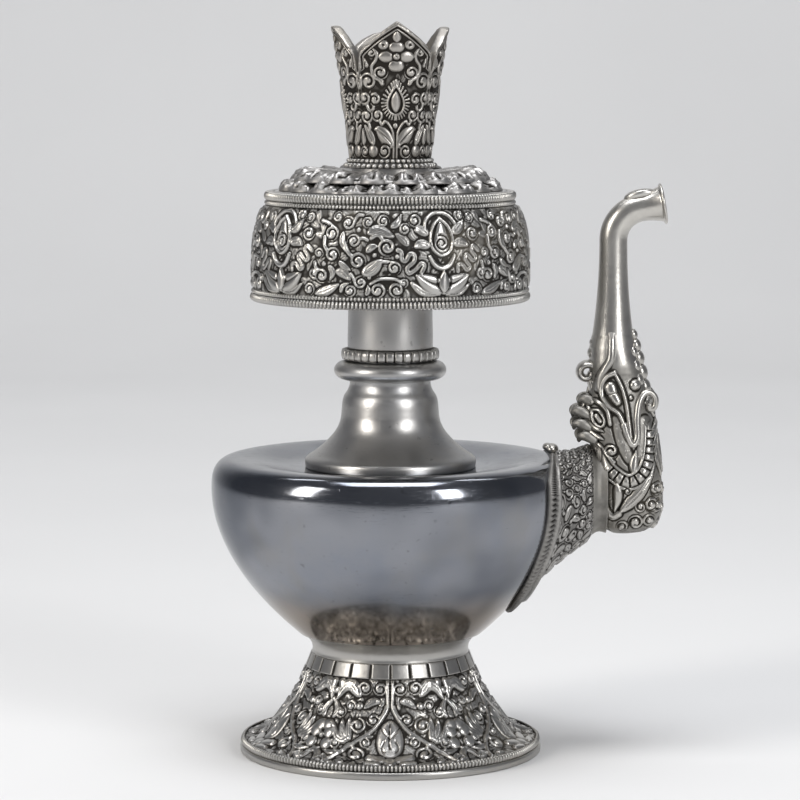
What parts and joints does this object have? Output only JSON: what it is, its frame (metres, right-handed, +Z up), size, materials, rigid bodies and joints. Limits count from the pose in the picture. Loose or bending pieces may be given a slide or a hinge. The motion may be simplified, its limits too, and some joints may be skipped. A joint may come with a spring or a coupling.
{
  "type": "tibetan bumpa vase",
  "caption": "Silver ritual ewer with a flared foot, shouldered belly, makara spout, lift-off drum canopy and a lobed crown that holds a sprinkler.",
  "frame": {"origin": "centre of the foot's underside", "axes": "+Z up along the vase's axis, +X towards the spout"},
  "size_m": [0.1862, 0.148, 0.3005],
  "materials": {
    "polished_silver": "polished silver with fine scratches",
    "chased_silver": "chased silver, dark in its recesses"
  },
  "bodies": {
    "vessel": {"foot_rim": "polished_silver", "foot_band": "polished_silver", "foot_collar": "polished_silver", "belly_bowl": "polished_silver", "belly_shoulder": "polished_silver", "neck_bell": "polished_silver", "neck_moulding": "polished_silver", "socket_lug": "polished_silver", "spout_throat": "polished_silver", "spout_tube": "polished_silver", "spout_lip": "polished_silver", "foot_bead_wire": "chased_silver", "foot_shell": "chased_silver", "spout_socket": "chased_silver", "socket_edge": "chased_silver", "makara_head": "chased_silver", "makara_eyes": "chased_silver", "makara_jaws": "chased_silver", "makara_ruffs": "chased_silver", "makara_trunk_curl": "chased_silver", "makara_lip_curl": "chased_silver", "makara_crest": "chased_silver", "spout_saddle": "chased_silver"},
    "canopy": {"sleeve": "polished_silver", "stem_bead_ring": "chased_silver", "stem_tube": "polished_silver", "drum_base_plate": "polished_silver", "drum_wall": "chased_silver", "drum_lower_bead_wire": "chased_silver", "drum_lower_fine_wire": "chased_silver", "drum_upper_fine_wire": "chased_silver", "drum_upper_bead_wire": "chased_silver", "drum_top_plate": "polished_silver", "lotus_lower_tier": "chased_silver", "lotus_upper_tier": "chased_silver"},
    "crown": {"crown_plug": "polished_silver", "crown_bead_ring": "chased_silver", "crown_floor": "polished_silver", "crown_cup": "chased_silver"}
  },
  "joints": [
    {"name": "canopy_lift", "type": "slide", "parent": "vessel", "child": "canopy", "axis": [0, 0, 1], "range_m": [0, 0.05]},
    {"name": "crown_lift", "type": "slide", "parent": "canopy", "child": "crown", "axis": [0, 0, 1], "range_m": [0, 0.05]}
  ]
}
